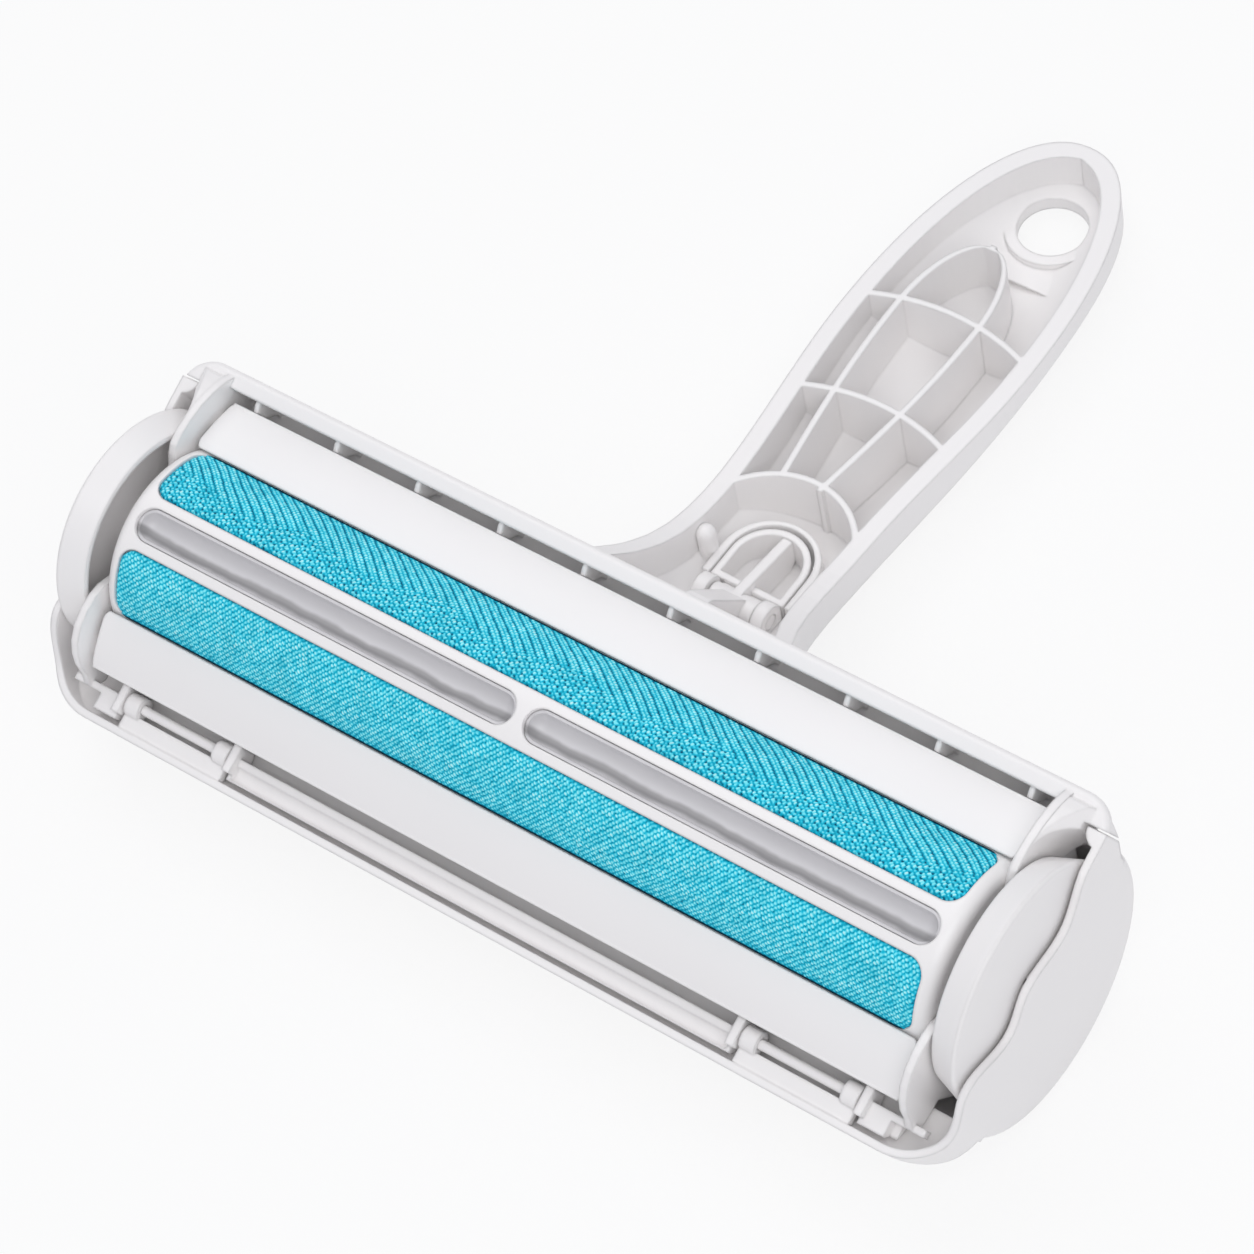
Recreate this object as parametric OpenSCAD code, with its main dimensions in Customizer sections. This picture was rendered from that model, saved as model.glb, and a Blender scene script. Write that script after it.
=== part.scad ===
/* [Head] */
// Width of the head over the cover's end walls
head_w = 189; // [150:1:230]
// Radius of the drum's working surface
drum_r = 17.8; // [16:0.1:18.1]
// Radius of the end wheels beside the plates
wheel_r = 19.7; // [18.5:0.1:20.5]
// How much wider the end wheels are at their outer side
wheel_flare = 1.8; // [0:0.1:2]
// Width of each end wheel
wheel_w = 5.3; // [4:0.1:5.6]
// Thickness of the frame's end plates
plate_t = 1.5; // [1.2:0.1:2]
// Outer radius of the cover's round back
cover_r = 25.5; // [24.5:0.1:28]
// How far the round back's centre lies below the drum's centre
cover_drop = 6; // [5:0.5:9]
// Wall of the cover
cover_t = 1.4; // [1.2:0.1:2]
// Depth of the waves along the end walls' top edges
wave_h = 2; // [1:0.1:3]
// Distance of the front hinge line from the drum's centre
hinge_y = 28.2; // [27.8:0.1:30]
// Radius of the hinge rods
rod_r = 0.9; // [0.7:0.05:1.1]
// Distance from the drum's centre to the back face of the rear rail
rail_y = 31; // [30.6:0.1:34]

/* [Guards] */
// Width of each guard over the slope
guard_w = 11.2; // [10:0.1:12]
// Thickness of the guards
guard_t = 1.8; // [1.4:0.1:2.4]
// Gap between the drum and the guards' scraping edges
guard_gap = 0.5; // [0.3:0.05:1]

/* [Drum] */
// Angle of each velour strip around the drum
strip_deg = 44; // [30:0.5:46]
// Angle between the drum's crest and the middle of each strip
strip_at = 38.5; // [32:0.5:42]
// Half length of the velour strips
strip_half = 82; // [60:0.1:83]
// Thickness of the velour strips
strip_t = 1.3; // [0.8:0.1:1.6]
// Width of the two long slots in the crest
slot_w = 6.2; // [4:0.1:7]
// Length of each slot
slot_l = 80.6; // [50:0.1:80.8]
// Wall of the drum
drum_t = 2.6; // [2:0.1:3.5]
// Radius of the drum's end bearings
axle_r = 3; // [2.5:0.1:4]

/* [Handle] */
// Length of the handle from the drum's centre to its tip
handle_l = 155.4; // [135:0.1:175]
// Slope of the handle below the working side
handle_slope = 24.1; // [18:0.1:28]
// Half width of the grip at its widest
grip_half = 19.5; // [17:0.1:23]
// Half width of the neck
neck_half = 16; // [15:0.1:18]
// Depth of the grip
grip_d = 15; // [13:0.1:18]
// Width of the rim around the handle's hollow side
rim_w = 3.6; // [2.5:0.1:4.5]
// Thickness of the ribs in the grip
rib_t = 1.2; // [0.8:0.1:2]
// Radius of the hanging hole
hang_r = 6.6; // [4:0.1:7.5]

/* [Button] */
// Half width of the release button
button_half = 7.6; // [6:0.1:9]
// Radius of the button's pivot pins
pivot_r = 1.5; // [1.2:0.1:2]

/* [Hidden] */
$fn = 64;
run = 0.06;
gap = 0.4;
eps = 0.01;
// Places along the head, from the end walls inwards
wall_in = head_w / 2 - cover_t;
wheel_out = wall_in - 0.7;
wheel_in = wheel_out - wheel_w;
plate_out = wheel_in - 0.7;
plate_in = plate_out - plate_t;
drum_half = plate_in - 0.3;
guard_half = plate_in - 1;
// Heights and distances of the rails
rail_top = 6.6;
rail_in = rail_y - 3.3;
rail_wall = 1.8;
rail_low = -4.6;
part_z = -5.1;
hinge_z = -0.5;
lip_r = 4.6;
bar_r = 3.7;
lip_out = hinge_y + lip_r + cover_t;
cover_ri = cover_r - cover_t;
rear_cut = hinge_y + rail_in - 0.9;
bracket_a = head_w * 0.278;
bracket_b = head_w * 0.41;
bracket_t = 1.5;
ribs = 10;
rib_pitch = head_w * 0.09324;
bar_step = head_w * 0.4365;
corner_r = 10.2;
// The handle's own frame starts below the drum and slopes down
root_drop = 12.8;
grip_from = 56;
grip_to = 106;
tip_a = handle_l - grip_to;
hole_s = handle_l - 13.6;
hole_floor = -9.6;
grip_wall = 2.1;
// The grip's back is an arc along the handle and an arc across it
back_mid = 92;
back_arc = 330;
back_r = 24;
tip_r = 12.5;
// Length of the button from its pivot
button_l = 17.4;
// Start of the button's pad and of its opening, from the pivot
pad_from = 3.4;
well_from = 2.9;
// Pivot of the button, in the handle's frame
pivot_s = rail_y + 10.5;
pivot_w = -5.5;
// The cover's tongue behind the window in the neck's wall
tongue_y = rail_y - rail_wall - 1.6;
tongue_z = -20;
// The brush lies on the cover's back and the grip's back: the steepest line from one to the other
back_pts = [for (s = [back_mid : 2 : handle_l - tip_r]) head_of(s, back_at(s))];
tilt = max([for (p = back_pts) atan2(-(p[1] + cover_drop), p[0])
  - asin(cover_r / sqrt(p[0] * p[0] + (p[1] + cover_drop) * (p[1] + cover_drop)))]);
lift = cover_r + cover_drop * cos(tilt);
y_front = -lip_out * cos(tilt) - (hinge_z + 0.8) * sin(tilt);
y_tip = head_of(handle_l, 0)[0] * cos(tilt) - head_of(handle_l, 0)[1] * sin(tilt);
shift_y = -(y_front + y_tip) / 2;

function back_at(s) = back_arc - grip_d - sqrt(back_arc * back_arc - (s - back_mid) * (s - back_mid));

function head_of(s, w) = [s * cos(handle_slope) + w * sin(handle_slope),
  -root_drop - s * sin(handle_slope) + w * cos(handle_slope)];

function half_at(s) = s < grip_from
  ? neck_half + 6.5 * pow((grip_from - s) / 27, 3)
  : s < grip_to
  ? neck_half + (grip_half - neck_half) * (1 - cos(180 * (s - grip_from) / (grip_to - grip_from))) / 2
  : grip_half * pow(max(0, 1 - pow((s - grip_to) / tip_a, 2.2)), 1 / 2.2);

// The rim rises towards the rear rail
function rim_at(s) = s < 66 ? 10.7 * pow((66 - s) / 36.8, 2.6) : 0;

function arch_at(s, wide, from, top, end) = s < top
  ? wide * 0.48 + wide * 0.52 * sin(90 * (s - from) / (top - from))
  : wide * sqrt(max(0, 1 - pow((s - top) / (end - top), 2)));

// Upper edge of the end walls, from front to rear: a smooth step from each crest to the next hollow
function wave_at(y) = 4 + wave_h * (
  y < -19.4 ? step_at(y, -29.8, -1.85, -19.4, 1.7)
  : y < -8.4 ? step_at(y, -19.4, 1.7, -8.4, -1.1)
  : y < -0.8 ? step_at(y, -8.4, -1.1, -0.8, 0.3)
  : y < 9.4 ? step_at(y, -0.8, 0.3, 9.4, -1.1)
  : step_at(min(y, 20.5), 9.4, -1.1, 20.5, 1.2));

function step_at(y, y0, z0, y1, z1) = z0 + (z1 - z0) * (1 - cos(180 * (y - y0) / (y1 - y0))) / 2;

module rest() {
  translate([0, shift_y, lift]) rotate([tilt, 0, 0]) children();
}

// Lays a drawing of the side view across the head, over the given half width
module across(half) {
  rotate([90, 0, 90]) linear_extrude(height = 2 * half, center = true) children();
}

module across_from(x0, x1) {
  translate([x0, 0, 0]) rotate([90, 0, 90]) linear_extrude(height = x1 - x0) children();
}

module handle_frame() {
  translate([0, 0, -root_drop]) rotate([-handle_slope, 0, 0]) children();
}

module both_ends() {
  children();
  mirror([1, 0, 0]) children();
}

// Head frame

module plate_side() {
  difference() {
    polygon([[rail_y - 1, rail_low], [rail_y - 1, rail_top - 0.4], [28.6, 7.8], [27, 9.2], [25, 10.5], [22.5, 11.7],
      [19.5, 12.5], [16.5, 12.9], [14.2, 12.6], [12.6, 11.6], [11, 9.9], [9, 8.2], [6, 7.1], [0, 6.6], [-6, 7.1],
      [-9, 8.2], [-11, 9.9], [-12.8, 11.5], [-15, 12.3], [-18, 12.5], [-21, 11.8], [-23.5, 10.3], [-25.4, 8.1],
      [-26.8, 5.4], [-27.6, 2.4], [-hinge_y - 0.6, 0], [-hinge_y - 0.6, -1.4], [-hinge_y + 1.3, -3.4], [-22.6, -4], [-21, -9],
      [-16, -13.5], [-8, -16], [0, -16.6], [8, -16], [16, -13.5], [21.5, -9], [23.2, rail_low]]);
    circle(r = axle_r + run);
  }
}

module rear_rail_side() {
  translate([rail_y - rail_wall, rail_low]) square([rail_wall, rail_top - rail_low - 1.2]);
  translate([rail_in, rail_top - 2]) square([rail_y - rail_in - 1.2, 2]);
  translate([rail_in, rail_top - 2]) square([rail_y - rail_in, 0.9]);
  translate([rail_y - 1.2, rail_top - 1.2]) circle(r = 1.2, $fn = 32);
}

// The rail runs on round both rear corners of the head
module rear_rail() {
  r = 6;
  difference() {
    union() {
      across(head_w / 2 - r) rear_rail_side();
      both_ends() translate([head_w / 2 - r, rail_y - r, 0]) rotate_extrude(angle = 90, $fn = 96)
        translate([r - rail_y, 0]) rear_rail_side();
    }
    both_ends() {
      across_from(plate_out + 0.1, head_w) corner_under_side(0);
      across_from(plate_out, head_w) translate([-hinge_y, hinge_z]) circle(r = rear_cut, $fn = 200);
    }
  }
  across(plate_out) translate([cover_r - 1.6, rail_low]) square([rail_y - cover_r, 1.3]);
}

module front_bar_side() {
  difference() {
    translate([-hinge_y, hinge_z]) circle(r = bar_r, $fn = 48);
    translate([-hinge_y - 6, hinge_z + 0.5]) square([12, 6]);
    translate([-hinge_y + 0.5, hinge_z - 6]) square([12, 12]);
  }
}

module trough_cut_side() {
  translate([-hinge_y - 2.15, hinge_z + 0.5]) circle(r = 1.25, $fn = 32);
}

module bracket_side() {
  intersection() {
    translate([-hinge_y, hinge_z]) circle(r = bar_r, $fn = 48);
    translate([-hinge_y - 2.6, hinge_z - 6]) square([5, 8.2]);
  }
}

module corner_plan(grow) {
  r = 6;
  translate([0, rail_in - 9]) square([head_w / 2 - r, rail_y - rail_in + 9 + grow]);
  translate([0, rail_in - 9]) square([head_w / 2 + grow, rail_y - rail_in + 9 - r]);
  translate([head_w / 2 - r, rail_y - r]) circle(r = r + grow);
}

// The plate's rear end widens in a hollow curve into the corner of the rail
module rear_corner() {
  difference() {
    intersection() {
      translate([0, 0, -2]) linear_extrude(height = 20) intersection() {
        corner_plan(-0.6);
        difference() {
          translate([plate_out - 0.3, rail_in - 9]) square([head_w / 2 - plate_out, 14]);
          translate([head_w / 2, rail_in - 9.7]) circle(r = head_w / 2 - plate_out, $fn = 72);
        }
      }
      across_from(plate_out - 1, head_w) polygon([[10, -2], [10, 14], [19.5, 12.3], [22.5, 11.5], [25, 10.3], [27, 9],
        [28.6, 7.6], [rail_in + 1.4, rail_top - 0.2], [40, rail_top - 0.2], [40, -2]]);
      rotate([90, 0, 0]) translate([0, 0, -60]) linear_extrude(height = 60) polygon([[plate_out - 1, -2],
        [plate_out - 1, 14], [plate_out - 0.3, 12.6], [wall_in - 1.9, rail_top - 0.2], [head_w, rail_top - 0.2], [head_w, -2]]);
    }
    across_from(plate_out + 0.1, head_w) corner_under_side(0);
    across_from(wall_in - 2.8, head_w) translate([-hinge_y, hinge_z]) circle(r = rear_cut, $fn = 200);
  }
}

module frame_head() {
  both_ends() {
    across_from(plate_in, plate_out) plate_side();
    rear_corner();
    across_from(bracket_b - bracket_t / 2, bracket_b + bracket_t / 2) bracket_side();
    across_from(bracket_a - bracket_t / 2, bracket_a + bracket_t / 2) bracket_side();
    across_from(bracket_b, bar_step) front_bar_side();
    difference() {
      across_from(bar_step - eps, wall_in - corner_r + 1) front_bar_side();
      translate([bar_step, -hinge_y - 4, hinge_z - 1.9]) cube([wall_in, 3.2, 6]);
    }
    across_from(bar_step, wall_in - 4.5) translate([-hinge_y - 0.8, hinge_z - 1.5]) square([1.3, 2]);
    translate([bracket_a, -hinge_y, hinge_z]) rotate([0, 90, 0]) cylinder(r = rod_r, h = bracket_b - bracket_a);
  }
  rear_rail();
  difference() {
    across(bracket_a) front_bar_side();
    across(bracket_a - bracket_t / 2) trough_cut_side();
  }
  for (i = [0 : ribs - 1]) {
    x = (i - (ribs - 1) / 2) * rib_pitch;
    across_from(x - 0.5, x + 0.5) polygon([[rail_y - 1, rail_low], [rail_y - 1, rail_top - 1.4], [rail_in - 0.5, 4.9],
      [25.95, 4.2], [25.95, 1], [27.5, -1.5], [rail_in, rail_low]]);
  }
}

// Handle

module outline(inset, from, wide) {
  n = 40;
  left = [for (i = [0 : n]) let (s = from + (handle_l - inset - from) * sin(90 * i / n))
    [-max(0.02, half_at(s * handle_l / (handle_l - inset * pow(i / n, 4))) - inset * wide), s]];
  right = [for (i = [n : -1 : 0]) [-left[i][0], left[i][1]]];
  polygon(concat(left, right));
}

// Long side view of the handle, with the grip's rounded tip and the rim that rises to the rail
module side_view(inset) {
  top = [for (i = [0 : 12]) let (s = 24 + i * 3.5) [s, rim_at(s)]];
  polygon(concat(top, [[handle_l - tip_r, 0], [handle_l - tip_r, -40], [24, -40]]));
  intersection() {
    translate([handle_l - tip_r, 0]) circle(r = tip_r - inset, $fn = 96);
    translate([handle_l - tip_r - 1, -40]) square([60, 40]);
  }
}

module cavity_view() {
  translate([20, -40]) square([handle_l - 47, 80]);
  translate([20, hole_floor]) square([handle_l, 60]);
  translate([handle_l - 28, hole_floor - 2.5]) circle(r = 2.5, $fn = 48);
}

module belly(inset) {
  translate([0, back_mid, back_arc - grip_d]) rotate([0, 90, 0]) rotate([0, 0, -24])
    rotate_extrude(angle = 48, $fn = 300) translate([back_arc - back_r, 0]) circle(r = back_r - inset, $fn = 72);
}

module handle_outer() {
  intersection() {
    translate([0, 0, -20]) linear_extrude(height = 40) outline(0, 26, 1);
    across(40) side_view(0);
    belly(0);
  }
}

module handle_cavity() {
  intersection() {
    translate([0, 0, -20]) linear_extrude(height = 60) outline(rim_w * 0.85, 26, 1.18);
    across(40) cavity_view();
    belly(grip_wall);
  }
}

module rib_bow(s, half, sag) {
  r = (half * half + sag * sag) / (2 * sag);
  translate([0, s + sag - r, 0]) difference() {
    circle(r = r, $fn = 120);
    circle(r = r - rib_t, $fn = 120);
    translate([-100, -200]) square([200, 200 + r - sag - 2.5]);
  }
}

module arch_outline(grow) {
  n = 24;
  from = 66;
  top = 109;
  end = 126.8;
  left = [for (i = [0 : n]) let (s = from + (end + grow - from) * sin(90 * i / n))
    [-max(0.02, arch_at(min(s, end), 8, from, top, end) + grow), s]];
  right = [for (i = [n : -1 : 0]) [-left[i][0], left[i][1]]];
  polygon(concat(left, right));
}

module grip_ribs() {
  intersection() {
    union() {
      translate([0, 0, -grip_d]) linear_extrude(height = grip_d + 4) {
        rib_bow(107.3, grip_half - 1.4, 3.9);
        rib_bow(84.4, grip_half - 3.4, 3.4);
        rib_bow(61.6, neck_half - 3.2, 6.3);
      }
      translate([-2.4, 0, -grip_d]) linear_extrude(height = grip_d) difference() {
        arch_outline(rib_t / 2);
        arch_outline(-rib_t / 2);
      }
    }
    translate([0, 0, -20]) linear_extrude(height = 60) outline(1.6, 26, 1);
    across(40) side_view(1);
    belly(0.8);
  }
}

module button_well(grow, from) {
  top = pivot_s + button_l - button_half;
  translate([-button_half - grow, from]) square([2 * (button_half + grow), top - from]);
  intersection() {
    translate([0, top]) circle(r = button_half + grow);
    translate([-button_half - grow - 1, top - 0.5]) square([2 * (button_half + grow + 1), button_half + grow + 1]);
  }
}

module handle() {
  difference() {
    union() {
      difference() {
        handle_outer();
        handle_cavity();
      }
      grip_ribs();
      translate([0, hole_s, hole_floor - 1]) cylinder(r = hang_r + 2.3, h = 2.2);
      intersection() {
        translate([0, 0, -grip_d]) linear_extrude(height = grip_d - 5) button_well(1.9, pivot_s + well_from + 0.5);
        handle_outer();
      }
      pivot_ears();
    }
    translate([0, hole_s, -20]) cylinder(r = hang_r, h = 40);
    translate([0, 0.5, -30]) linear_extrude(height = 60) button_well(gap, pivot_s + well_from - 0.5);
  }
}

// Wall between the rear rail and the handle's neck, and the button's bearings

module neck_wall() {
  difference() {
    intersection() {
      translate([-30, rail_y - rail_wall, -46]) cube([60, rail_wall, 46 + rail_top - 1.5]);
      union() {
        handle_frame() intersection() {
          translate([0, 0, -20]) linear_extrude(height = 60) outline(0.3, 22, 1);
          belly(0.3);
        }
        translate([-23.5, 0, -18]) cube([47, 60, 30]);
      }
    }
    translate([-4.6, 0, tongue_z - 4.6]) cube([9.2, 60, 6.4]);
  }
}

module pivot_ears() {
  for (x = [-7.6, 5.1]) {
    translate([x, 0, 0]) difference() {
      across_from(0, 2.5) union() {
        translate([pivot_s, pivot_w]) circle(r = pivot_r + 1.7, $fn = 48);
        translate([pivot_s - pivot_r - 1.7, -grip_d + 3]) square([2 * pivot_r + 3.4, grip_d - 3 + pivot_w]);
      }
      translate([-1, pivot_s, pivot_w]) rotate([0, 90, 0]) cylinder(r = pivot_r + run, h = 4.5);
      translate([-4, pivot_s - 20, -40]) cube([12, 40, 40 + back_at(pivot_s) + 0.5]);
    }
  }
}

module frame() {
  color("whitesmoke") rest() {
    frame_head();
    difference() {
      handle_frame() handle();
      translate([-60, -40, -60]) cube([120, 40 + rail_y - 0.6, 120]);
    }
    neck_wall();
    handle_frame() translate([-11.2, 49.5, -grip_d + 3.5]) cylinder(r = 1.8, h = 10);
    handle_frame() translate([-11.2, 49.5, -grip_d + 13.5]) sphere(r = 1.8);
  }
}

// Guards

module guard_side() {
  r = 36;
  a = 24.5;
  mid_y = drum_r + 2.95;
  mid_z = 7.3;
  difference() {
    union() {
      translate([mid_y - r * sin(a), mid_z - r * cos(a)]) intersection() {
        difference() {
          circle(r = r, $fn = 240);
          circle(r = r - guard_t, $fn = 240);
        }
        rotate(-a) translate([-guard_w / 2, 0]) square([guard_w, r + 1]);
      }
      translate([mid_y + guard_w / 2 * cos(a) - 1.25, mid_z - 6]) square([1.2, 3.5]);
    }
    circle(r = drum_r + guard_gap, $fn = 200);
  }
}

module guard_plan() {
  r = 2.4;
  w = guard_w / 2 + 0.6;
  translate([-guard_half, -w + r]) square([2 * guard_half, 2 * w - 2 * r]);
  translate([-guard_half + r, -w]) square([2 * guard_half - 2 * r, 2 * w]);
  for (x = [-1, 1]) {
    for (y = [-1, 1]) {
      translate([x * (guard_half - r), y * (w - r)]) circle(r = r, $fn = 32);
    }
  }
}

module guard_body() {
  intersection() {
    across(guard_half) guard_side();
    translate([0, drum_r + 2.95, 6]) rotate([-24.5, 0, 0]) translate([0, 0, -20]) linear_extrude(height = 40) guard_plan();
  }
  both_ends() {
    across_from(guard_half - 3, plate_in) polygon([[20.5, 5.6], [23.4, 4.3], [23.4, 1.2], [20.5, 1.2]]);
  }
}

module guard_rear() {
  color("white") rest() guard_body();
}

module guard_front() {
  color("white") rest() mirror([0, 1, 0]) guard_body();
}

// Cover

module cover_outer_side() {
  translate([0, -cover_drop]) circle(r = cover_r, $fn = 120);
  translate([-hinge_y - 0.5, -2]) circle(r = lip_out - hinge_y - 0.5, $fn = 64);
  translate([-hinge_y - 0.5, -2 - (lip_out - hinge_y - 0.5)]) square([hinge_y, 20]);
  translate([-lip_out, -2]) square([lip_out, 20]);
  translate([-1, -cover_drop]) square([cover_r + 3.5, 24]);
}

module cover_inner_side() {
  translate([0, -cover_drop]) circle(r = cover_ri, $fn = 120);
  translate([-hinge_y, hinge_z]) circle(r = lip_r, $fn = 64);
  translate([-hinge_y - lip_r, hinge_z]) square([hinge_y, 20]);
  translate([-hinge_y, hinge_z - lip_r]) square([hinge_y, 20]);
  translate([0, part_z - 0.5]) square([60, 30]);
}

module cover_plan(half, front, r) {
  translate([-half, -front + r]) square([2 * half, 2 * front]);
  translate([-half + r, -front]) square([2 * half - 2 * r, 2 * front]);
  translate([-half + r, -front + r]) circle(r = r);
  translate([half - r, -front + r]) circle(r = r);
}

module cover_top_side() {
  edge = [for (i = [0 : 50]) let (y = -29.8 + i * 1.01) [y, wave_at(y)]];
  polygon(concat([[-40, 30], [-40, wave_at(-29.8)]], edge, [[40, wave_at(26)], [40, 30]]));
}

// The end walls run into the round back with a soft edge
module cover_ends() {
  f = 2.6;
  translate([-head_w, -60, -cover_drop]) cube([2 * head_w, 120, 40]);
  translate([-head_w, -60, -8.6]) cube([2 * head_w, 37, 40]);
  translate([0, 0, -cover_drop]) rotate([0, 90, 0]) rotate_extrude($fn = 120) {
    translate([0, -head_w / 2 - 0.05]) square([cover_r + 0.05 - f, head_w + 0.1]);
    translate([0, -head_w / 2 - 0.05 + f]) square([cover_r + 0.05, head_w + 0.1 - 2 * f]);
    for (z = [-1, 1]) {
      translate([cover_r + 0.05 - f, z * (head_w / 2 + 0.05 - f)]) circle(r = f, $fn = 48);
    }
  }
}

// Space under the rear corners, seen from the side
module corner_under_side(grow) {
  polygon([[24.9 - grow, -7], [25 - grow, -4.2], [28.4 - grow, 4.6], [40, 4.6], [40, -7]]);
}

module hinge_leaf() {
  both_ends() {
    across_from(bracket_a + bracket_t / 2 + gap, bracket_b - bracket_t / 2 - gap)
      translate([-hinge_y - lip_r - 0.4, hinge_z - 1.3]) square([lip_r + 0.4 - 1.6, 1.7]);
    for (x = [bracket_a + bracket_t / 2 + gap, bracket_b - bracket_t / 2 - gap - 3]) {
      translate([x, -hinge_y, hinge_z]) difference() {
        union() {
          rotate([0, 90, 0]) cylinder(r = rod_r + 1.2, h = 3);
          translate([0, -2.2, -1.3]) cube([3, 2.2, 1.7]);
        }
        translate([-1, 0, 0]) rotate([0, 90, 0]) cylinder(r = rod_r + run, h = 5);
      }
    }
  }
}

module cover() {
  color("whitesmoke") rest() {
    difference() {
      intersection() {
        across(head_w) cover_outer_side();
        translate([0, 0, -60]) linear_extrude(height = 90) cover_plan(head_w / 2, lip_out, corner_r + cover_t);
        across(head_w) translate([-hinge_y, hinge_z]) circle(r = rear_cut - 0.4, $fn = 200);
        cover_ends();
      }
      intersection() {
        across(wall_in) cover_inner_side();
        translate([0, 0, -60]) linear_extrude(height = 90) difference() {
          cover_plan(wall_in, hinge_y + lip_r, corner_r);
          both_ends() translate([head_w / 2 - 0.5, rail_in - 1.5]) circle(r = 3.1, $fn = 48);
        }
      }
      across(head_w) cover_top_side();
      both_ends() across_from(plate_out + 1.6, head_w) corner_under_side(0.4);
    }
    hinge_leaf();
    across(4) polygon([[cover_r - 4.9, tongue_z + 4.6], [tongue_y, tongue_z + 0.8], [tongue_y, tongue_z - 0.6],
      [cover_r - 6.5, tongue_z - 1.4]]);
  }
}

// Drum

module drum_blank(r) {
  rotate([0, 90, 0]) difference() {
    cylinder(r = r, h = 2 * drum_half, center = true, $fn = 120);
    for (z = [-1, 1]) {
      rotate_extrude($fn = 120) difference() {
        translate([r - 2.4, z * drum_half - (z > 0 ? 2.4 : 0)]) square([3, 2.4]);
        translate([r - 2.4, z * (drum_half - 2.4)]) circle(r = 2.4, $fn = 48);
      }
    }
  }
}

module pad_plan(half_l, half_w, r) {
  translate([-half_l + r, -half_w]) square([2 * half_l - 2 * r, 2 * half_w]);
  translate([-half_l, -half_w + r]) square([2 * half_l, 2 * half_w - 2 * r]);
  for (x = [-1, 1]) {
    for (y = [-1, 1]) {
      translate([x * (half_l - r), y * (half_w - r)]) circle(r = r, $fn = 32);
    }
  }
}

module pad(side, grow, low, high) {
  intersection() {
    rotate([-side * strip_at, 0, 0]) linear_extrude(height = 40)
      pad_plan(strip_half + grow, drum_r * sin(strip_deg / 2) + grow, 3);
    difference() {
      rotate([0, 90, 0]) cylinder(r = high, h = 300, center = true, $fn = 120);
      rotate([0, 90, 0]) cylinder(r = low, h = 310, center = true, $fn = 120);
    }
  }
}

module slot_plan(grow) {
  r = slot_w / 2 + grow;
  translate([slot_w / 2 + 1.1, 0]) circle(r = r, $fn = 48);
  translate([slot_l + 1.1 - slot_w / 2, 0]) circle(r = r, $fn = 48);
  translate([slot_w / 2 + 1.1, -r]) square([slot_l - slot_w, 2 * r]);
}

module drum() {
  color("white") rest() {
    difference() {
      union() {
        drum_blank(drum_r);
        rotate([0, 90, 0]) cylinder(r = axle_r, h = 2 * (wheel_out + 0.1), center = true);
      }
      rotate([0, 90, 0]) cylinder(r = drum_r - drum_t, h = 2 * (drum_half - 1.5), center = true, $fn = 96);
      pad(1, 0.1, drum_r - strip_t, drum_r + 3);
      pad(-1, 0.1, drum_r - strip_t, drum_r + 3);
      translate([0, 0, 5]) linear_extrude(height = 20) slot_plan(0);
      mirror([1, 0, 0]) translate([0, 0, 5]) linear_extrude(height = 20) slot_plan(0);
      both_ends() translate([wheel_in, -0.5, -6]) cube([10, 1, 12]);
    }
    both_ends() rotate([0, 90, 0]) translate([0, 0, drum_half - 2.4]) cylinder(r = axle_r + 1.5, h = 2.4);
  }
}

module strip_rear() {
  color("deepskyblue") rest() pad(1, 0, drum_r - strip_t + 0.05, drum_r + 0.15);
}

module strip_front() {
  color("deepskyblue") rest() pad(-1, 0, drum_r - strip_t + 0.05, drum_r + 0.15);
}

module trough() {
  r = slot_w / 2;
  difference() {
    union() {
      translate([0, 0, drum_r - drum_t - 2.4]) linear_extrude(height = drum_t + 1.6) slot_plan(-0.1);
      intersection() {
        translate([0, 0, drum_r - drum_t - 2.4]) linear_extrude(height = 2.2) slot_plan(0.9);
        rotate([0, 90, 0]) cylinder(r = drum_r - drum_t - 0.05, h = 300, center = true, $fn = 96);
      }
    }
    translate([r + 1.1, 0, drum_r - 0.4]) rotate([0, 90, 0]) cylinder(r = r - 0.6, h = slot_l - slot_w);
    translate([r + 1.1, 0, drum_r - 0.4]) sphere(r = r - 0.6);
    translate([slot_l + 1.1 - r, 0, drum_r - 0.4]) sphere(r = r - 0.6);
  }
}

module trough_right() {
  color("gray") rest() trough();
}

module trough_left() {
  color("gray") rest() mirror([1, 0, 0]) trough();
}

module wheel() {
  rotate([0, 90, 0]) rotate_extrude($fn = 120) difference() {
    polygon([[axle_r + run, wheel_in], [wheel_r, wheel_in], [wheel_r + wheel_flare, wheel_out - 0.5],
      [wheel_r + wheel_flare - 0.5, wheel_out], [axle_r + run, wheel_out]]);
    translate([axle_r + 2.6, wheel_in - 1]) square([wheel_r - 1 - axle_r - 2.6, wheel_w - 0.5]);
  }
}

module wheel_right() {
  color("white") rest() wheel();
}

module wheel_left() {
  color("white") rest() mirror([1, 0, 0]) wheel();
}

// Release button: a pad flush with the neck's back, its skirt, the lever, the pivot pins and the finger

module button_pad() {
  difference() {
    intersection() {
      translate([0, 0, -20]) linear_extrude(height = 15) button_well(0, pivot_s + pad_from);
      belly(0);
    }
    intersection() {
      translate([0, 0, -20]) linear_extrude(height = 60) button_well(-1.3, pivot_s + pad_from + 1.3);
      belly(1.4);
    }
  }
}

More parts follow.
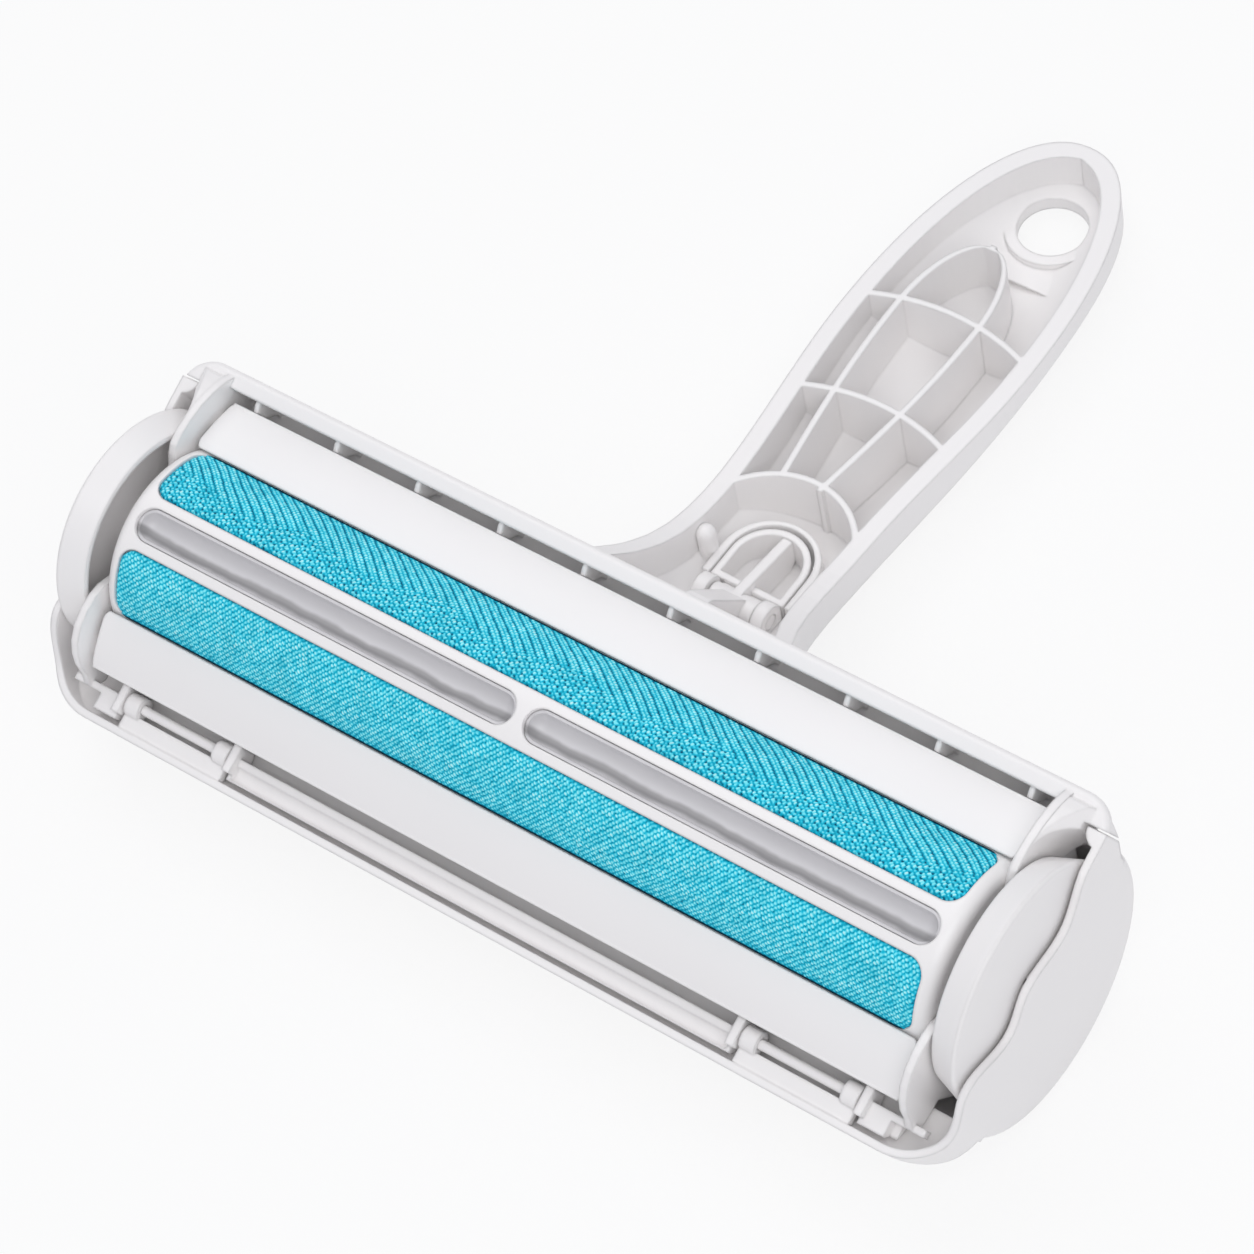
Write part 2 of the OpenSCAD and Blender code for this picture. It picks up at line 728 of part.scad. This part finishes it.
module button() {
  color("white") rest() {
    handle_frame() {
      button_pad();
      across(1) polygon([[pivot_s - 1.5, pivot_w + 1], [pivot_s + 1, pivot_w + 2.4], [pivot_s + 16.2, -5.4],
        [pivot_s + 16.9, -10], [pivot_s + 14, back_at(pivot_s + 14) + 1], [pivot_s + pad_from + 0.2, back_at(pivot_s + 3.6) + 0.6],
        [pivot_s + pad_from + 0.2, pivot_w - 2.4], [pivot_s - 1, pivot_w - 1.6]]);
      across(4.7) union() {
        translate([pivot_s, pivot_w]) circle(r = pivot_r + 1, $fn = 48);
        polygon([[pivot_s, pivot_w - 2.3], [pivot_s, pivot_w], [pivot_s + 3, pivot_w],
          [pivot_s + pad_from + 1.6, pivot_w - 2.4], [pivot_s + pad_from + 1.6, back_at(pivot_s) + 1],
          [pivot_s + pad_from, back_at(pivot_s) + 1], [pivot_s + pad_from, pivot_w - 2.3]]);
      }
      translate([-7.4, pivot_s, pivot_w]) rotate([0, 90, 0]) cylinder(r = pivot_r, h = 14.8);
    }
    finger();
  }
}

module finger() {
  p = head_of(pivot_s, pivot_w);
  across(2.4) polygon([[p[0] - 1.8, p[1] + 1], [p[0] + 1.6, p[1] + 1.4], [rail_y + 2.6, tongue_z - 0.8],
    [rail_y + 1.4, tongue_z + 0.4], [rail_y - rail_wall + 0.3, tongue_z + 0.4], [rail_y - rail_wall + 0.3, tongue_z - 1.6],
    [rail_y + 0.8, tongue_z - 2.6]]);
}

frame();
guard_rear();
guard_front();
cover();
drum();
strip_rear();
strip_front();
trough_left();
trough_right();
wheel_left();
wheel_right();
button();
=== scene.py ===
import math
import bmesh
import bpy
from mathutils import Matrix, Vector, noise


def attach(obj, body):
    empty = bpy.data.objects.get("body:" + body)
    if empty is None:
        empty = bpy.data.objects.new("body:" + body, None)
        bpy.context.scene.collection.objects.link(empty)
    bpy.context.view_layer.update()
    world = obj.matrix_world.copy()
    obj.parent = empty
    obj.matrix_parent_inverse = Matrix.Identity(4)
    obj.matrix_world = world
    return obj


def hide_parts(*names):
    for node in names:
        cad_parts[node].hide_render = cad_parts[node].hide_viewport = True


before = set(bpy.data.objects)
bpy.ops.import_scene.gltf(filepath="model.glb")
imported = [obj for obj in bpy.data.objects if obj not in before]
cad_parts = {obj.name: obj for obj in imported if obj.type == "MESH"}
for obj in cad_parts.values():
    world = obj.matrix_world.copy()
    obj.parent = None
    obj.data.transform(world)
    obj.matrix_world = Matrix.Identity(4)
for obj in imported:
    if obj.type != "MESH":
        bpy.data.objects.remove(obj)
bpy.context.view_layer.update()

# Viewpoint: a long lens above the right-hand end of the head, turned a little about its own
# line of sight, so that the drum runs down to the right and the handle up to the right.
right_of_view = Vector((0.80181, 0.57357, -0.16766))
top_of_view = Vector((-0.40228, 0.72556, 0.55833))
towards_eye = right_of_view.cross(top_of_view).normalized()
eye = Vector((0.3494, -0.343685, 0.680084))
camera = bpy.data.objects.new("viewpoint", bpy.data.cameras.new("viewpoint"))
bpy.context.scene.collection.objects.link(camera)
camera.matrix_world = Matrix((
    (right_of_view.x, top_of_view.x, towards_eye.x, eye.x),
    (right_of_view.y, top_of_view.y, towards_eye.y, eye.y),
    (right_of_view.z, top_of_view.z, towards_eye.z, eye.z),
    (0.0, 0.0, 0.0, 1.0),
))
camera.data.sensor_width = 36.0
camera.data.lens = 136.94
camera.data.clip_start = 0.01
camera.data.clip_end = 20.0
bpy.context.scene.camera = camera
bpy.context.scene.view_settings.view_transform = "Standard"

# Body mouldings: the frame with its handle, the dust cover, the two end wheels and the release button.
# They are injection-moulded ABS in a clean white, satin from a finely textured tool. The cover snaps onto
# the frame's hinge rods, the button's pins into the neck's ears and the wheels onto the drum's bearings.
abs_ior = 1.5
flow_scale = 34.0
tint_low = 0.972
tint_high = 1.012
polish_swing = 0.04


def shader(name):
    mat = bpy.data.materials.new(name)
    mat.use_nodes = True
    nodes = mat.node_tree.nodes
    return mat, nodes, mat.node_tree.links, nodes["Principled BSDF"]


# One surface for every moulding: the melt's flow leaves a faint cloud in tint and polish, the tool's face
# leaves a fine grain, and the edges catch the light as if slightly rounded.
moulded = bpy.data.node_groups.new("moulded_surface", "ShaderNodeTree")
moulded.interface.new_socket("Colour", in_out="INPUT", socket_type="NodeSocketColor")
for socket in ("Roughness", "Grain", "Grain Depth", "Edge"):
    moulded.interface.new_socket(socket, in_out="INPUT", socket_type="NodeSocketFloat")
moulded.interface.new_socket("Colour", in_out="OUTPUT", socket_type="NodeSocketColor")
moulded.interface.new_socket("Roughness", in_out="OUTPUT", socket_type="NodeSocketFloat")
moulded.interface.new_socket("Normal", in_out="OUTPUT", socket_type="NodeSocketVector")
asked = moulded.nodes.new("NodeGroupInput")
given = moulded.nodes.new("NodeGroupOutput")
coord = moulded.nodes.new("ShaderNodeTexCoord")
flow = moulded.nodes.new("ShaderNodeTexNoise")
flow.inputs["Scale"].default_value = flow_scale
flow.inputs["Detail"].default_value = 3.0
tint = moulded.nodes.new("ShaderNodeMapRange")
tint.inputs["To Min"].default_value = tint_low
tint.inputs["To Max"].default_value = tint_high
tinted = moulded.nodes.new("ShaderNodeVectorMath")
tinted.operation = "SCALE"
polish = moulded.nodes.new("ShaderNodeMapRange")
polish.inputs["To Min"].default_value = -polish_swing
polish.inputs["To Max"].default_value = polish_swing
polished = moulded.nodes.new("ShaderNodeMath")
polished.operation = "ADD"
polished.use_clamp = True
grain = moulded.nodes.new("ShaderNodeTexNoise")
grain.inputs["Detail"].default_value = 2.0
soft_edge = moulded.nodes.new("ShaderNodeBevel")
soft_edge.samples = 6
texture = moulded.nodes.new("ShaderNodeBump")
texture.inputs["Strength"].default_value = 1.0
for source, target in (
    (coord.outputs["Object"], flow.inputs["Vector"]),
    (coord.outputs["Object"], grain.inputs["Vector"]),
    (asked.outputs["Grain"], grain.inputs["Scale"]),
    (flow.outputs["Fac"], tint.inputs["Value"]),
    (asked.outputs["Colour"], tinted.inputs[0]),
    (tint.outputs["Result"], tinted.inputs["Scale"]),
    (tinted.outputs[0], given.inputs["Colour"]),
    (flow.outputs["Fac"], polish.inputs["Value"]),
    (polish.outputs["Result"], polished.inputs[0]),
    (asked.outputs["Roughness"], polished.inputs[1]),
    (polished.outputs[0], given.inputs["Roughness"]),
    (asked.outputs["Edge"], soft_edge.inputs["Radius"]),
    (soft_edge.outputs["Normal"], texture.inputs["Normal"]),
    (grain.outputs["Fac"], texture.inputs["Height"]),
    (asked.outputs["Grain Depth"], texture.inputs["Distance"]),
    (texture.outputs["Normal"], given.inputs["Normal"]),
):
    moulded.links.new(source, target)


def plastic(name, colour, roughness, grain_scale, grain_depth, edge_radius):
    mat, nodes, links, bsdf = shader(name)
    surface = nodes.new("ShaderNodeGroup")
    surface.name = "moulded"
    surface.node_tree = moulded
    surface.inputs["Colour"].default_value = (*colour, 1.0)
    surface.inputs["Roughness"].default_value = roughness
    surface.inputs["Grain"].default_value = grain_scale
    surface.inputs["Grain Depth"].default_value = grain_depth
    surface.inputs["Edge"].default_value = edge_radius
    links.new(surface.outputs["Colour"], bsdf.inputs["Base Color"])
    links.new(surface.outputs["Roughness"], bsdf.inputs["Roughness"])
    links.new(surface.outputs["Normal"], bsdf.inputs["Normal"])
    bsdf.inputs["IOR"].default_value = abs_ior
    return mat


def dress(node, mat):
    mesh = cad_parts[node].data
    mesh.materials.clear()
    mesh.materials.append(mat)


white_satin = plastic(
    "white_satin",
    colour=(0.93, 0.912, 0.905),
    roughness=0.36,
    grain_scale=5200.0,
    grain_depth=0.000004,
    edge_radius=0.0008,
)
for node in ("frame", "cover", "wheel_left", "wheel_right", "button"):
    dress(node, white_satin)

# Drum and guard panels: the rocking drum with its beds and slots, and the two panels that close the head
# in front of it and behind it. The same white ABS from a smoother tool, with crisper edges. The drum hangs
# in the end plates' bearings, and the panels sit on the frame.
white_smooth = plastic(
    "white_smooth",
    colour=(0.935, 0.918, 0.912),
    roughness=0.33,
    grain_scale=3800.0,
    grain_depth=0.000003,
    edge_radius=0.0006,
)
for node in ("drum", "guard_rear", "guard_front"):
    dress(node, white_smooth)

# Grey troughs: two long pill-shaped inserts clipped into the drum's slots from inside. They are moulded in
# smoke-grey ABS and polished. Across the hollow the colour is painted with light and shade: paler along both
# edges, with a painted dark shade band beside its middle that drifts a little from end to end.
drum_axle = Vector((0.0, -0.064047, 0.031076))
drum_lean = math.radians(21.672)
trough_half_width = 0.0031
shade_band_shift = 0.0006
shade_band_drift = 0.0012
# painted shade: the dark band at about 0.24 to 0.34 of the width and the paler edges stand in for the
# hollow's light and shade; the grey plastic's own tone is the even level near 0.7
grey_and_painted_shade_tones = (
    (0.0, (0.74, 0.73, 0.745)),
    (0.1, (0.64, 0.6304, 0.6432)),
    (0.24, (0.29, 0.28565, 0.29145)),
    (0.34, (0.34, 0.3349, 0.3417)),
    (0.48, (0.7, 0.6895, 0.7035)),
    (0.65, (0.68, 0.6698, 0.6834)),
    (0.85, (0.73, 0.71905, 0.73365)),
    (1.0, (0.8, 0.79, 0.805)),
)


def ramp(nodes, tones):
    node = nodes.new("ShaderNodeValToRGB")
    stops = node.color_ramp.elements
    for stop, (place, colour) in zip(stops, (tones[0], tones[-1])):
        stop.position = place
        stop.color = (*colour, 1.0)
    for place, colour in tones[1:-1]:
        stops.new(place).color = (*colour, 1.0)
    return node


grey_smoke = plastic(
    "grey_smoke",
    colour=(0.5, 0.495, 0.505),
    roughness=0.34,
    grain_scale=900.0,
    grain_depth=0.000002,
    edge_radius=0.00025,
)
nodes = grey_smoke.node_tree.nodes
coord = nodes.new("ShaderNodeTexCoord")
on_drum = nodes.new("ShaderNodeMapping")
on_drum.vector_type = "TEXTURE"
on_drum.inputs["Location"].default_value = drum_axle
on_drum.inputs["Rotation"].default_value = (drum_lean, 0.0, 0.0)
split = nodes.new("ShaderNodeSeparateXYZ")
shade_band_wobble = nodes.new("ShaderNodeTexNoise")
shade_band_wobble.inputs["Scale"].default_value = 150.0
shade_band_wobble.inputs["Detail"].default_value = 2.0
drift = nodes.new("ShaderNodeMath")
drift.operation = "MULTIPLY_ADD"
drift.inputs[1].default_value = shade_band_drift
over_width = nodes.new("ShaderNodeMapRange")
over_width.inputs["From Min"].default_value = shade_band_shift - trough_half_width
over_width.inputs["From Max"].default_value = shade_band_shift + trough_half_width
smoke = ramp(nodes, grey_and_painted_shade_tones)
smoke.color_ramp.interpolation = "EASE"
for source, target in (
    (coord.outputs["Object"], on_drum.inputs["Vector"]),
    (coord.outputs["Object"], shade_band_wobble.inputs["Vector"]),
    (on_drum.outputs["Vector"], split.inputs[0]),
    (shade_band_wobble.outputs["Fac"], drift.inputs[0]),
    (split.outputs["Y"], drift.inputs[2]),
    (drift.outputs[0], over_width.inputs["Value"]),
    (over_width.outputs["Result"], smoke.inputs["Fac"]),
    (smoke.outputs["Color"], nodes["moulded"].inputs["Colour"]),
):
    grey_smoke.node_tree.links.new(source, target)
for node in ("trough_left", "trough_right"):
    dress(node, grey_smoke)

# Velour strips: two cyan pads of looped polyester pile on a woven backing, cut out and glued into the
# drum's beds. The loops stand in slanting double rows. On the rear strip they are combed flat into long
# cords beside the guard and stand open like a net towards the crest; the front strip is half combed.
strip_radius = 0.01795
strip_floor = 0.0166
strip_middle = math.radians(38.5)
strip_half_length = 0.08197
strip_half_width = 0.00684
strip_corner = 0.003
lip_radius = 0.01784
raw_edge = 0.0004
rolled_edge = 0.0006
rolled_depth = 0.0004
backing_sunk = 0.00035
backing_flats = 8
pile_depth = 0.00045
edge_pile = 0.35
# painted shade: the pile colour is darkened along the rolled cut edges and beside the guard's edge, where the
# gap lies in shade
rolled_edge_shade = 0.25
shade_reach = 0.0016
steps_along = 1000
steps_across = 94
cord_pitch = 0.00155
loop_pitch = 0.0007
hole_pitch = 0.0016
cord_groove = 0.00023
middle_groove = 0.00016
row_bow = 0.00022
row_sway = 0.0003
comb_from = 0.0096
comb_wave = 0.0013
comb_sway = 0.0009
comb_fade = 0.0024
half_combed = 0.42
half_combed_sway = 0.3
loop_foot = 0.62
loop_rise = 0.38
loop_uneven = 0.12
loop_fuzz = 0.12
rear_pile = {
    "side": 1,
    "slant": math.radians(38.0),
    "stray": 0.0001,
    "widening": 0.0002,
    "groove_depth": 0.6,
    "open_depth": 0.14,
    "guard_side_shade": 0.06,
}
front_pile = {
    "side": -1,
    "slant": math.radians(47.0),
    "stray": 0.00017,
    "widening": 0.00005,
    "groove_depth": 0.5,
    "open_depth": 0.0,
    "guard_side_shade": 0.2,
}


def groove(distance, half_width):
    return math.exp(-(distance / half_width) ** 2)


def ease(value, low, high):
    t = min(1.0, max(0.0, (value - low) / (high - low)))
    return t * t * (3.0 - 2.0 * t)


def wave(turns):
    return 0.5 + 0.5 * math.cos(2.0 * math.pi * turns)


def drift_at(x, out, pace_x, pace_out, seed):
    return noise.noise(Vector((x * pace_x, out * pace_out, seed)))


def combing(x, out, sway, pile):
    # how flat the loops lie, from 0 for a standing net to 1 for combed cords
    if pile is front_pile:
        return half_combed + half_combed_sway * sway
    border = comb_from + comb_wave * math.sin(x * 230.0 + pile["side"]) + comb_sway * sway
    return ease(out, border, border + comb_fade)


def pile_height(x, out, pile):
    # x runs along the drum and out from the crest outwards, both in metres. A cord is two lines of
    # loops side by side: the groove between two cords is deep and the one along its middle shallow.
    side = pile["side"]
    sway = drift_at(x, out, 95.0, 120.0, 4.0 * side)
    stray = drift_at(x, out, 900.0, 900.0, 11.0 * side)
    fuzz = drift_at(x, out, 2600.0, 2600.0, 9.0 + side)
    along = x * math.cos(pile["slant"]) - out * math.sin(pile["slant"])
    across = x * math.sin(pile["slant"]) + out * math.cos(pile["slant"])
    across += row_bow * math.sin(x * 190.0 + 2.0 * side) + row_sway * sway
    across += pile["stray"] * stray
    cord = math.floor(across / cord_pitch)
    off_middle = (across / cord_pitch - cord - 0.5) * cord_pitch
    line = 2 * cord + (1 if off_middle > 0.0 else 0)
    loop = along / loop_pitch + 0.5 * (line % 2)
    luck = noise.cell_vector(Vector((math.floor(loop) + 0.5, line + 0.5, 7.0 * side + 0.5)))
    combed = combing(x, out, sway, pile)
    loose = 1.0 - combed
    # away from the comb the deep groove breaks up into staggered holes between crossing loops
    hole = wave(along / hole_pitch + 0.5 * (cord % 2)) ** 1.4
    deep = (pile["groove_depth"] + pile["open_depth"] * loose) * (combed + loose * hole)
    shallow = 0.3 + 0.25 * loose * (1.0 - hole)
    height = loop_foot + loop_rise * wave(loop) * (0.3 + 0.7 * luck.x) - loop_uneven * luck.y
    height -= deep * groove(0.5 * cord_pitch - abs(off_middle), cord_groove + pile["widening"] * loose)
    height -= shallow * groove(off_middle, middle_groove)
    height += loop_fuzz * fuzz
    return max(0.0, min(1.0, height))


def velour(name, pile):
    side = pile["side"]
    half_width = strip_half_width + 0.5 * raw_edge
    crest_edge = strip_radius * strip_middle - strip_half_width
    bed_edge = crest_edge + 2.0 * strip_half_width
    bm = bmesh.new()
    bmesh.ops.create_grid(bm, x_segments=steps_along, y_segments=steps_across, size=1.0)
    shade = bm.verts.layers.float.new("pile")
    for vert in bm.verts:
        # lay the square grid out as a long strip with rounded corners
        x = vert.co.x * strip_half_length
        w = vert.co.y * half_width
        past_x = max(0.0, abs(x) - (strip_half_length - strip_corner))
        past_w = max(0.0, abs(w) - (half_width - strip_corner))
        reach = math.hypot(past_x, past_w)
        if past_x > 0.0 and past_w > 0.0 and reach > strip_corner:
            x = math.copysign(strip_half_length - strip_corner + past_x * strip_corner / reach, x)
            w = math.copysign(half_width - strip_corner + past_w * strip_corner / reach, w)
            reach = strip_corner
        out = w + half_width + crest_edge
        past_lip = out - crest_edge - 2.0 * half_width + 2.0 * raw_edge
        # raise the pile, roll its cut edge down and tuck the outer one over the bed's lip
        roll = min(1.0, (strip_corner - reach) / rolled_edge)
        tuck = ease(past_lip, 0.0, raw_edge)
        height = pile_height(x, out, pile) * (1.0 - tuck)
        radius = strip_radius - backing_sunk + pile_depth * height * (edge_pile + (1.0 - edge_pile) * roll)
        radius -= rolled_depth * (1.0 - roll) ** 2 * (1.0 - tuck)
        if tuck > 0.0:
            radius = max(radius, lip_radius)
        angle = side * out / strip_radius
        vert.co = (x, radius * math.sin(angle), radius * math.cos(angle))
        # painted shade: darker along the rolled cut edges and over the last stretch before the bed's outer
        # lip by the guard
        pile_shade_factor = 1.0 - rolled_edge_shade * (1.0 - roll) - pile["guard_side_shade"] * ease(past_lip, -shade_reach, 0.0)
        vert[shade] = height * pile_shade_factor
    rim = [edge for edge in bm.edges if edge.is_boundary]
    for vert in bmesh.ops.extrude_edge_only(bm, edges=rim)["geom"]:
        if isinstance(vert, bmesh.types.BMVert):
            angle = math.atan2(vert.co.y, vert.co.z)
            angle = math.copysign(min(abs(angle), bed_edge / strip_radius), angle)
            vert.co.y = strip_floor * math.sin(angle)
            vert.co.z = strip_floor * math.cos(angle)
    rim = [edge for edge in bm.edges if edge.is_boundary]
    under = bmesh.ops.holes_fill(bm, edges=rim, sides=0)["faces"]
    # the backing follows the round floor of its bed, as flats side by side
    for step in range(1, backing_flats):
        share = 2.0 * step / backing_flats - 1.0
        slope = side * (strip_middle + share * strip_half_width / strip_radius)
        parts = dict.fromkeys(under)
        for face in under:
            parts.update(dict.fromkeys(face.edges))
            parts.update(dict.fromkeys(face.verts))
        across = (0.0, math.cos(slope), -math.sin(slope))
        cut = bmesh.ops.bisect_plane(bm, geom=list(parts), plane_co=(0, 0, 0), plane_no=across)
        under = [part for part in cut["geom"] if isinstance(part, bmesh.types.BMFace)]
    bmesh.ops.rotate(bm, verts=bm.verts, cent=(0, 0, 0), matrix=Matrix.Rotation(drum_lean, 3, "X"))
    bmesh.ops.translate(bm, verts=bm.verts, vec=drum_axle)
    bmesh.ops.recalc_face_normals(bm, faces=bm.faces)
    # extruding leaves the faces in another order each run, so they are put in the order of their corners
    bm.verts.index_update()
    corners = len(bm.verts)
    bm.faces.sort(key=lambda face: face.loops[0].vert.index * corners + face.loops[1].vert.index)
    for face in bm.faces:
        face.smooth = True
    mesh = bpy.data.meshes.new(name)
    bm.to_mesh(mesh)
    bm.free()
    strip = bpy.data.objects.new(name, mesh)
    bpy.context.scene.collection.objects.link(strip)
    return strip


# The colour is painted darkest between the loops as painted shade and palest on the loop tips as painted
# highlight, and the dye varies a little from place to place.
pile_shade_and_highlight_tones = (
    (0.0, (0.0, 0.03, 0.07)),
    (0.12, (0.0, 0.2, 0.33)),
    (0.42, (0.002, 0.56, 0.77)),
    (0.66, (0.22, 0.91, 1.0)),
    (0.95, (0.74, 1.0, 1.0)),
)
cyan_pile, nodes, links, bsdf = shader("cyan_pile")
height = nodes.new("ShaderNodeAttribute")
height.attribute_name = "pile"
painted_pile_shading = ramp(nodes, pile_shade_and_highlight_tones)
coord = nodes.new("ShaderNodeTexCoord")
batch = nodes.new("ShaderNodeTexNoise")
batch.inputs["Scale"].default_value = 260.0
batch.inputs["Detail"].default_value = 5.0
strength = nodes.new("ShaderNodeMapRange")
strength.inputs["To Min"].default_value = 0.84
strength.inputs["To Max"].default_value = 1.14
dyed = nodes.new("ShaderNodeVectorMath")
dyed.operation = "SCALE"
fibre = nodes.new("ShaderNodeTexNoise")
fibre.inputs["Scale"].default_value = 9000.0
fibre.inputs["Detail"].default_value = 2.0
fibre_bump = nodes.new("ShaderNodeBump")
fibre_bump.inputs["Strength"].default_value = 0.6
fibre_bump.inputs["Distance"].default_value = 0.00005
for source, target in (
    (height.outputs["Fac"], painted_pile_shading.inputs["Fac"]),
    (coord.outputs["Object"], batch.inputs["Vector"]),
    (batch.outputs["Fac"], strength.inputs["Value"]),
    (painted_pile_shading.outputs["Color"], dyed.inputs[0]),
    (strength.outputs["Result"], dyed.inputs["Scale"]),
    (dyed.outputs[0], bsdf.inputs["Base Color"]),
    (coord.outputs["Object"], fibre.inputs["Vector"]),
    (fibre.outputs["Fac"], fibre_bump.inputs["Height"]),
    (fibre_bump.outputs["Normal"], bsdf.inputs["Normal"]),
):
    links.new(source, target)
bsdf.inputs["Roughness"].default_value = 0.55
bsdf.inputs["Specular IOR Level"].default_value = 0.2
bsdf.inputs["Sheen Weight"].default_value = 0.05
bsdf.inputs["Sheen Roughness"].default_value = 0.4
bsdf.inputs["Sheen Tint"].default_value = (0.4, 0.95, 1.0, 1.0)
for name, node, pile in (
    ("velour_rear", "strip_rear", rear_pile),
    ("velour_front", "strip_front", front_pile),
):
    strip = velour(name, pile)
    strip.data.materials.append(cyan_pile)
    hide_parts(node)
    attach(strip, "drum")

# Studio: a matt pale floor that the brush lies on and that reads as near white in the picture, an even and
# slightly cool surround, and two large soft lights of plain strength, one high behind the head's left end
# and one beside the viewpoint, which leave soft grey shades in the hollows.
floor_half_side = 4.0
floor_glow = 0.84
surround_strength = 0.52
bm = bmesh.new()
bmesh.ops.create_grid(bm, x_segments=2, y_segments=2, size=floor_half_side)
mesh = bpy.data.meshes.new("floor")
bm.to_mesh(mesh)
bm.free()
floor = bpy.data.objects.new("floor", mesh)
bpy.context.scene.collection.objects.link(floor)
pale, nodes, links, bsdf = shader("pale_floor")
nodes.remove(bsdf)
matt = nodes.new("ShaderNodeBsdfDiffuse")
matt.inputs["Color"].default_value = (0.86, 0.86, 0.865, 1.0)
glow = nodes.new("ShaderNodeEmission")
glow.inputs["Color"].default_value = (1.0, 1.0, 1.0, 1.0)
path = nodes.new("ShaderNodeLightPath")
seen_or_mirrored = nodes.new("ShaderNodeMath")
seen_or_mirrored.operation = "MAXIMUM"
seen_at_all = nodes.new("ShaderNodeMath")
seen_at_all.operation = "MAXIMUM"
share = nodes.new("ShaderNodeMath")
share.operation = "MULTIPLY"
share.inputs[1].default_value = floor_glow
mix = nodes.new("ShaderNodeMixShader")
for source, target in (
    (path.outputs["Is Camera Ray"], seen_or_mirrored.inputs[0]),
    (path.outputs["Is Glossy Ray"], seen_or_mirrored.inputs[1]),
    (seen_or_mirrored.outputs[0], seen_at_all.inputs[0]),
    (path.outputs["Is Transmission Ray"], seen_at_all.inputs[1]),
    (seen_at_all.outputs[0], share.inputs[0]),
    (share.outputs[0], mix.inputs["Fac"]),
    (matt.outputs[0], mix.inputs[1]),
    (glow.outputs[0], mix.inputs[2]),
    (mix.outputs[0], nodes["Material Output"].inputs["Surface"]),
):
    links.new(source, target)
floor.data.materials.append(pale)

surround = bpy.data.worlds.new("surround")
bpy.context.scene.world = surround
surround.use_nodes = True
surround.node_tree.nodes["Background"].inputs["Color"].default_value = (0.935, 0.945, 1.0, 1.0)
surround.node_tree.nodes["Background"].inputs["Strength"].default_value = surround_strength


def soft_light(name, place, size, watts):
    lamp = bpy.data.lights.new(name, "AREA")
    lamp.shape = "SQUARE"
    lamp.size = size
    lamp.energy = watts
    light = bpy.data.objects.new(name, lamp)
    bpy.context.scene.collection.objects.link(light)
    towards_brush = (-Vector(place)).to_track_quat("-Z", "Y")
    light.matrix_world = Matrix.Translation(Vector(place)) @ towards_brush.to_matrix().to_4x4()


soft_light("key", (-0.45, 0.4, 1.2), 1.0, 4.4)
soft_light("fill", (0.62, -0.53, 1.14), 1.0, 6.8)
